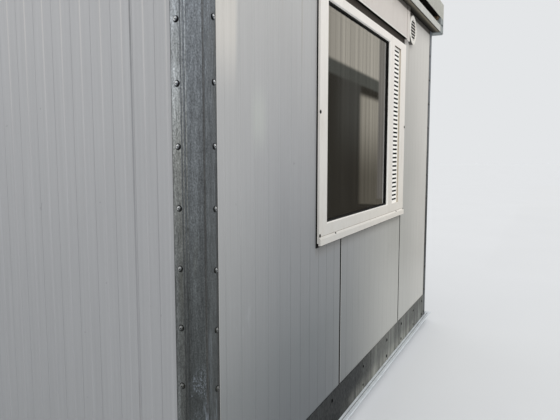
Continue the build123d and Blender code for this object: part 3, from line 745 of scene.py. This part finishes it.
# Foot of the walls: screws and laps of the kick plates, welded strips and grooves on the ledge. The gaps
# beside the laps and the grooves are dark strips of painted shade
kick = {"screwsUp": (0.204, 0.096), "frontScrews": (0.15, 0.615, 1.103, 1.59, 2.085, 2.465, 2.834, 3.136),
        "frontLaps": (1.6, 2.844), "pitch": 0.49, "margin": 0.15, "radius": 0.0086, "height": 0.0035,
        "ring": 0.0116, "ringHeight": 0.0008, "lapWidth": 0.03, "lapSteel": 0.0012, "gapWidth": 0.003,
        "gapHeight": 0.0006}
ledge = {"strips": ((0.004, 0.018), (0.0215, 0.039)), "height": 0.0015,
         "grooves": ((0.0, 0.004), (0.018, 0.0215)), "grooveHeight": 0.0003}
kickHeads, kickRings, laps, lapGaps = newShape(), newShape(), newShape(), newShape()
ledgeStrips, ledgeGrooves = newShape(), newShape()
for wall, length in lengths.items():
    count = round((length - 2 * kick["margin"]) / kick["pitch"])
    spots = [kick["margin"] + n * (length - 2 * kick["margin"]) / count for n in range(count + 1)]
    lapSpots = [length / 3, 2 * length / 3]
    if wall == "front":
        spots, lapSpots = kick["frontScrews"], kick["frontLaps"]
    if wall == "rear":
        lapSpots = [length / 3]
    for along in spots:
        for up in kick["screwsUp"]:
            if wall == "rear" and up == kick["screwsUp"][0] and doorGap[0] < along < doorGap[1]:
                continue
            addDome(kickHeads, wall, along, kickFront, up, kick["radius"], kick["height"], 12, 3)
            addDome(kickRings, wall, along, kickFront, up, kick["ring"], kick["ringHeight"], 12, 2)
    for along in lapSpots:
        addBlock(laps, wall, (along - kick["lapWidth"], along),
                 (kickFront - sunk, kickFront + kick["lapSteel"]), (ledgeTop, kickTop - sunk))
        addBlock(lapGaps, wall, (along, along + kick["gapWidth"]),
                 (kickFront - sunk, kickFront + kick["gapHeight"]), (ledgeTop, kickTop))
    for shape, reaches, height in ((ledgeStrips, ledge["strips"], ledge["height"]),
                                   (ledgeGrooves, ledge["grooves"], ledge["grooveHeight"])):
        for reach in reaches:
            addBlock(shape, wall, (0.0, length), reach, (ledgeTop - sunk, ledgeTop + height))
for name, shape, finishName in (
        ("kick_plate_screws", kickHeads, "black_screw"),
        ("kick_plate_screw_rings", kickRings, "screw_shadow_ring"),
        ("kick_plate_laps", laps, "front_kick_steel"), ("kick_plate_lap_gaps", lapGaps, "recess_painted_shade"),
        ("base_ledge_strips", ledgeStrips, "ledge_steel"),
        ("base_ledge_grooves", ledgeGrooves, "screw_shadow_ring")):
    makePiece(name, shape, finishName)
print("site cabin: screws and base details made")

# Window: sloping glazing bead, corner welds, screws, seam and tape of the sill. The last two are given as
# how far the ends shift, the thickness, and how far foot and top shift
window = {"bite": 0.014, "bead": 0.004, "beadDrop": 0.006, "beadDepth": 0.003, "jambJoint": 2.03,
          "weld": 0.0012, "weldHeight": 0.0003, "screwRadius": 0.0086, "screwHeight": 0.0026,
          "faceScrews": ((0.894, 1.575), (2.362, 1.575), (0.896, 1.041)),
          "sillScrews": ((1.081, 1.026), (2.182, 1.026), (2.36, 1.026)), "sillOut": 0.02,
          "seam": ((0.012, -0.004), 0.0004, (-0.0002, 0.0014)),
          "tape": ((0.002, -0.001), 0.003, (-0.011, 0.001))}
faceOut = -halfLength - frameLow.y
frameSpan, stripAlong = frontSpan(frameLow, frameHigh), frontSpan(stripLow, stripHigh)
pane = (*frontSpan(glassLow, glassHigh, -window["bite"]), glassLow.z + window["bite"],
        glassHigh.z - window["bite"])
outer = (*frameSpan, frameLow.z, frameHigh.z)
left, right, low, high = pane
inset, beadOut = window["bead"], faceOut - window["beadDrop"]
beadBack = beadOut - window["beadDepth"]
bead = newShape()
addRings(bead, [[onWall("front", along + side * step, out, up + rise * step)
                 for out, step in ((faceOut, 0), (beadOut, inset), (beadBack, inset), (beadBack, 0))]
                for along, up, side, rise in ((left, low, 1, 1), (right, low, -1, 1), (right, high, -1, -1),
                                              (left, high, 1, -1))], closed=True)
makePiece("window_glazing_bead", bead, "glazing_bead_white")


def addSeam(shape, start, end, width, out, height):
    start, end = Vector(start), Vector(end)
    side = (end - start).normalized().orthogonal() * width / 2
    addRings(shape, [[onWall("front", point.x, level, point.y)
                      for point in (start + side, start - side, end - side, end + side)]
                     for level in (out - sunk, out + height)])


welds = newShape()
jamb = window["jambJoint"]
seams = [((a0, outer[n]), (a1, pane[n])) for a0, a1 in ((outer[0], pane[0]), (jamb, pane[1])) for n in (2, 3)]
for start, end in seams + [((jamb, outer[2]), (jamb, outer[3]))]:
    addSeam(welds, start, end, window["weld"], faceOut, window["weldHeight"])
makePiece("window_weld_lines", welds, "dirty_joint")
ends, thick, reach = window["seam"]
makeBlocks("window_sill_seam", "sill_seam", "white_frame", (
    "front", shifted(frameSpan, ends), (faceOut - sunk, faceOut + thick),
    shifted((outer[2], outer[2]), reach)))
frameScrews = newShape()
for out, places in ((faceOut, window["faceScrews"]), (window["sillOut"], window["sillScrews"])):
    for along, up in places:
        addDome(frameScrews, "front", along, out, up, window["screwRadius"], window["screwHeight"], 12, 3)
makePiece("window_screws", frameScrews, "black_screw")

# Behind the slots: dark gauze, its black partly painted shade in the slots, and painted shadow under the top
# and painted shade on the side of the strip's recess
slots = {"gauze": 0.0008, "gap": 0.0012, "ledge": 0.008, "ventGauze": 0.0672, "ventGap": 0.0024,
         "grime": 0.0008, "grimeDrop": 0.0006, "sideDrop": 0.0004, "sideStop": 0.001}
gauze = newShape()
stripOut, ventOut = -halfLength - stripLow.y, -halfLength - ventLow.y
gauzeOut, ventGauzeOut = stripOut - slots["gap"], ventOut - slots["ventGap"]
inside = (slots["ledge"], -slots["ledge"])
addBlock(gauze, "front", shifted(stripAlong, inside), (gauzeOut - slots["gauze"], gauzeOut),
         shifted((stripLow.z, stripHigh.z), inside))
for centre in vents["places"]:
    addRings(gauze, [circle("front", centre, out, vents["up"], slots["ventGauze"], 40)
                     for out in (ventGauzeOut - slots["gauze"], ventGauzeOut)])
makePiece("dark_gauze", gauze, "dark_gauze")
makeBlocks("strip_recess_painted_shadow", "strip_top_painted_shadow", "white_frame", (
    "front", stripAlong, (stripOut, faceOut - slots["grimeDrop"]),
    (stripHigh.z - slots["grime"], stripHigh.z)))
makeBlocks("strip_recess_side", "recess_dust", "white_frame", (
    "front", (stripAlong[1] - slots["grime"], stripAlong[1]), (stripOut, faceOut - slots["sideDrop"]),
    (stripLow.z, stripHigh.z - slots["sideStop"])))
# The black tape reaches below the sill, partly real tape and partly painted shadow under the sill
ends, thick, reach = window["tape"]
makeBlocks("sill_seal", "black_seal", "seal", (
    "front", shifted(frameSpan, ends), (-sunk, thick), shifted((sillLow.z, tapeLow.z), reach)))
print("site cabin: window details made")

# Shutter box: bright turned hem, and dark strips of painted shade under the box and in the notch at the end
# of the bar
box = {"cover": 0.003, "hem": 0.0065, "hemOut": 0.001, "sideHem": (0.0003, 0.006), "sideHemOut": 0.0008,
       "shadeOut": 0.0062, "shadeBack": 0.0015, "shade": (-0.0008, 0.0002),
       "notch": (-0.02, -0.004), "notchOut": (0.0055, 0.0066), "notchUp": (0.002, -0.001)}
boxOut, boxFoot, boxSpan = -halfLength - boxLow.y, barHigh.z, frontSpan(boxLow, boxHigh)
coverOut = boxOut - box["cover"]
makeBlocks("shutter_box_hem", "box_hem", "box_cover",
           ("front", frameSpan, (coverOut - sunk, coverOut + box["hemOut"]), (boxFoot, boxFoot + box["hem"])),
           *[("front", (start + sunk, end - sunk), (boxOut - sunk, boxOut + box["sideHemOut"]),
              shifted((boxLow.z, boxLow.z), box["sideHem"]))
             for start, end in ((boxSpan[0], outer[0]), (outer[1], boxSpan[1]))])
makeBlocks("shutter_box_shade", "recess_painted_shade", "dark_bar",
           ("front", frameSpan, (box["shadeOut"], coverOut - box["shadeBack"]),
            shifted((boxFoot, boxFoot), box["shade"])),
           ("front", shifted((outer[1], outer[1]), box["notch"]), box["notchOut"],
            shifted((barLow.z, boxFoot), box["notchUp"])))

# Roof edge: a soffit skin with painted shade, a dark skin of painted shade in the recess over the lip, pale
# hem of the fascia and a rusty crust in the recess
roof = {"lip": 0.048, "back": 0.025, "hem": (0.0003, 0.007), "hemOut": (-0.0025, -0.0001), "hemEnd": 0.002,
        "reach": 0.0665, "skin": 0.0006, "soffitTop": 0.0002, "recessStop": 0.003, "blockSize": 0.046,
        "rustAlong": (3.196, 3.254),
        "rust": ((0.025, 0.03), (0.052, 0.016), (0.06, 0.0007), (0.025, 0.0007))}
soffitSkin, recessSkin, hems, rust = newShape(), newShape(), newShape(), newShape()
back, skin = roof["back"], roof["skin"]
for wall, length in lengths.items():
    inner = (roof["blockSize"], length - roof["blockSize"])
    addBlock(soffitSkin, wall, inner, (roof["soffitTop"], roof["reach"]),
             (soffit - skin, soffit + roof["soffitTop"]))
    addBlock(recessSkin, wall, inner, (back - sunk, back + skin), (soffit + roof["lip"], beamTop - skin))
    addBlock(recessSkin, wall, inner, (back, overhang - roof["recessStop"]), (beamTop - skin, beamTop))
    addBlock(hems, wall, (roof["hemEnd"] - overhang, length + overhang - roof["hemEnd"]),
             shifted((overhang, overhang), roof["hemOut"]), shifted((beamTop, beamTop), roof["hem"]))
addRun(rust, "front", roof["rustAlong"], [(out, beamTop - drop) for out, drop in roof["rust"]])
makePiece("soffit_skin", soffitSkin, "soffit_painted_shade")
makePiece("recess_skin", recessSkin, "recess_painted_shade")
makePiece("fascia_hems", hems, "hem_zinc")
makePiece("recess_rust", rust, "rusty_steel", bevel=0.003)

# Roof screws at the ends and thirds of every raised rib; the head is drawn as (share of radius, height)
roofRows = {"count": 17, "margin": 0.16, "top": 0.092, "gap": 0.022, "end": 0.06, "radius": 0.008,
            "head": ((1.0, -0.001), (1.0, 0.0015), (0.55, 0.0016), (0.5, 0.005), (0.1, 0.0054))}
roofHeads = newShape()
reachX, reachY = halfWidth - roofRows["gap"], halfLength - roofRows["gap"] - roofRows["margin"]
for number in range(roofRows["count"]):
    y = number * 2 * reachY / (roofRows["count"] - 1) - reachY
    for x in (roofRows["end"] - reachX, -reachX / 3, reachX / 3, reachX - roofRows["end"]):
        addRings(roofHeads, [[Vector((x + a, y + b, beamTop + roofRows["top"] + lift))
                              for a, b in roundPoints(share * roofRows["radius"], 12)]
                             for share, lift in roofRows["head"]])
makePiece("roof_screws", roofHeads, "pale_screw_ring")
print("site cabin: shutter box and roof edge made")

# Rear door: seal round the leaf, three hinges, lock cylinder, weather bar and drip rail
door = {"seal": 0.0026, "sealOut": (-0.004, -0.001), "hinges": (0.4, 1.22, 2.02), "hingeRadius": 0.009,
        "hingeLength": 0.11, "hingeParts": ((0.0, 0.49), (0.51, 1.0)), "hingeIn": 0.004, "hingeOut": 0.0145,
        "leafPlate": (0.002, 0.034), "plate": 0.003,
        "lockIn": 0.057, "lockDrop": 0.085, "lockOut": 0.008, "lockRadius": 0.0105, "lockHeight": 0.006,
        "keyAlong": (-0.0009, 0.0009), "keyUp": (-0.005, 0.005), "keyOut": (0.013, 0.0146),
        "barMargin": 0.01, "bar": ((-sunk, 0.01), (0.022, 0.012), (0.026, 0.018), (-sunk, 0.045)),
        "dripMargin": 0.02, "drip": ((0.0, 0.001), (0.032, 0.001), (0.032, -0.008), (0.034, -0.008),
                                     (0.034, 0.003), (0.002, 0.02), (0.0, 0.02))}
start, end = rearSpan(leafLow, leafHigh)
foot, top, edge = leafLow.z, leafHigh.z, door["seal"]
makeBlocks("door_seal", "black_seal", "seal", *[
    ("rear", along, door["sealOut"], up)
    for along, up in (((start - edge, start), (foot, top)), ((end, end + edge), (foot, top)),
                      ((start - edge, end + edge), (top, top + edge)))])
hinges, lock, doorTrim = newShape(), newShape(), newShape()
for up in door["hinges"]:
    for low, high in door["hingeParts"]:
        addPin(hinges, "rear", start - door["hingeIn"], door["hingeOut"], up + low * door["hingeLength"],
               up + high * door["hingeLength"], door["hingeRadius"])
    addBlock(hinges, "rear", shifted((start, start), door["leafPlate"]), (-sunk, door["plate"]),
             (up, up + door["hingeLength"]))
makePiece("door_hinges", hinges, "satin_handle")
handleLow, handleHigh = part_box("door_handle")
lockAlong, lockUp = end - door["lockIn"], (handleLow.z + handleHigh.z) / 2 - door["lockDrop"]
addDome(lock, "rear", lockAlong, door["lockOut"], lockUp, door["lockRadius"], door["lockHeight"], 24)
addBlock(lock, "rear", shifted((lockAlong, lockAlong), door["keyAlong"]), door["keyOut"],
         shifted((lockUp, lockUp), door["keyUp"]))
makePiece("door_lock", lock, "satin_handle")
addRun(doorTrim, "rear", (start + door["barMargin"], end - door["barMargin"]),
       [(out, foot + up) for out, up in door["bar"]])
addRun(doorTrim, "rear", (doorGap[0] - door["dripMargin"], doorGap[1] + door["dripMargin"]),
       [(out, doorHigh.z + up) for out, up in door["drip"]])
makePiece("door_weather_bar", doorTrim, "door_coat", bevel=0.0004)
print("site cabin: door details made")

# Studio: pale floor, soft light, and a glowing card far out, hidden from the camera, from diffuse light and
# from shadow, whose dark and pale fields are a painted reflection in the glass and other glossy faces
studio = {"floor": (226, 228, 230), "floorReach": 90, "back": (228, 230, 232), "fill": 0.78, "sun": 1.13,
          "sunAngle": 36, "sunWay": (0.42, 0.62, -0.66)}
card = {"nearEnd": (4.0, -6.654), "farEnd": (24.0, -7.422), "foot": 0.004, "height": 7.5, "mat": -3.2,
        "glow": 1.25, "upper": (250, 243, 228), "upperNear": (214, 206, 192), "band": (124, 125, 118),
        "dark": (80, 76, 68), "darkHigh": (110, 109, 103), "farLow": (136, 130, 117),
        "farHigh": (224, 217, 201), "end": (156, 151, 144), "endHigh": (182, 178, 170), "pleat": 0.4,
        "pleatDepth": 0.16, "pleatTone": (60, 58, 52), "fades": {
            "nearUp": ("up", 0.8, 2.8), "nearAlong": ("along", 9.2, 11), "farUp": ("up", 0.6, 2.7),
            "darkTop": ("up", 2.95, 3.15), "far": ("along", 11.7, 12.2), "band": ("up", 3.26, 3.36),
            "upper": ("up", 3.6, 3.72), "upperAlong": ("along", 7.5, 10.5), "end": ("along", 13.8, 14.1),
            "endUp": ("up", 0.5, 4)}}


def stagePiece(name, points, faces):
    piece = newPiece(name, points, faces, name + "_paint")
    return piece


def floorPaint(name):
    tree, shader = startFinish(name, 0.9, 0.0, 0.1)
    cloud = grain(tree, 1.2, (1, 1, 1), 3, 0.5)
    plug(tree, shader, {"Base Color": varied(tree, tone(*studio["floor"]), cloud, 0.01)})


# The card glows in fields, a painted reflection: each fade lays a tone over what lies before it, by height or
# along the card
def cardPaint(name):
    tree, shader = startFinish(name, 1.0, 0.0, 0.0)
    up, along = axis(tree, "Z"), axis(tree, "X")
    shades = {key: tone(*value) for key, value in card.items()
              if isinstance(value, tuple) and len(value) == 3}
    fades = {key: spread(tree, up if way == "up" else along, low, high)
             for key, (way, low, high) in card["fades"].items()}
    near = blend(tree, both(tree, fades["nearUp"], fades["nearAlong"]), shades["dark"], shades["darkHigh"])
    far = blend(tree, fades["farUp"], shades["farLow"], shades["farHigh"])
    upper = blend(tree, fades["upperAlong"], shades["upperNear"], shades["upper"])
    end = blend(tree, fades["endUp"], shades["end"], shades["endHigh"])
    shade = blend(tree, fades["far"], near, blend(tree, fades["darkTop"], far, shades["dark"]))
    for key, over in (("band", shades["band"]), ("upper", upper), ("end", end)):
        shade = blend(tree, fades[key], shade, over)
    shade = varied(tree, shade, grain(tree, 0.22, (1, 1, 0.01), 2, 0.5), 0.16)
    fold = spread(tree, reckon(tree, "SINE", both(tree, along, 2 * math.pi / card["pleat"])), 0.35, 0.95)
    shade = blend(tree, both(tree, fold, card["pleatDepth"]), shade, shades["pleatTone"])
    plug(tree, shader, {"Base Color": (0, 0, 0, 1), "Emission Color": shade,
                        "Emission Strength": card["glow"]})


floorPaint("studio_floor_paint")
cardPaint("studio_card_paint")
far, foot, top, mat = studio["floorReach"], card["foot"], card["height"], card["mat"]
(x0, y0), (x1, y1) = card["nearEnd"], card["farEnd"]
stagePiece("studio_floor", [(-far, -far, 0), (far, -far, 0), (far, far, 0), (-far, far, 0)], [(0, 1, 2, 3)])
cardPiece = stagePiece("studio_card", [(x0, y0, foot), (x1, y1, foot), (x1, y1, top), (x0, y0, top),
                                       (x0, mat, foot), (x1, mat, foot)], [(0, 1, 2, 3), (0, 4, 5, 1)])
cardPiece.visible_camera = cardPiece.visible_diffuse = cardPiece.visible_shadow = False
cardPiece.visible_transmission = False

# The air gives soft fill light, and shows pale to the camera and in reflections
world = bpy.data.worlds.new("studio_air")
scene.world = world
world.use_nodes = True
air = world.node_tree
air.nodes.clear()
paths = newNode(air, "ShaderNodeLightPath")
seen = reckon(air, "MAXIMUM", paths["Is Camera Ray"],
              reckon(air, "MAXIMUM", paths["Is Glossy Ray"], paths["Is Transmission Ray"]))
fill, back = [newNode(air, "ShaderNodeBackground", {"Color": shade, "Strength": strength})["Background"]
              for shade, strength in (((1, 1, 1, 1), studio["fill"]), (tone(*studio["back"]), 1.0))]
mixed = newNode(air, "ShaderNodeMixShader", {"Fac": seen, 1: fill, 2: back})["Shader"]
newNode(air, "ShaderNodeOutputWorld", {"Surface": mixed})


# A lamp or camera, turned to look a way
def aim(name, data, way):
    item = bpy.data.objects.new(name, data)
    item.rotation_mode = "QUATERNION"
    item.rotation_quaternion = Vector(way).to_track_quat("-Z", "Y")
    scene.collection.objects.link(item)
    return item


lamp = bpy.data.lights.new("soft_key", "SUN")
lamp.energy = studio["sun"]
lamp.angle = math.radians(studio["sunAngle"])
aim("soft_key", lamp, studio["sunWay"])

# The camera stands and looks as in the photograph
view = {"place": (-2.95045, -3.911, 1.394), "yaw": 26.354, "pitch": 5.778, "lens": 35.25}
yaw, pitch = math.radians(view["yaw"]), math.radians(view["pitch"])
ahead = (math.cos(yaw) * math.cos(pitch), math.sin(yaw) * math.cos(pitch), -math.sin(pitch))
camera = scene.camera = aim("camera", bpy.data.cameras.new("camera"), ahead)
camera.data.lens = view["lens"]
camera.data.sensor_width = 36
camera.data.clip_end = 400
camera.location = view["place"]
scene.view_settings.view_transform = "Standard"
print("site cabin: studio, light and camera set")
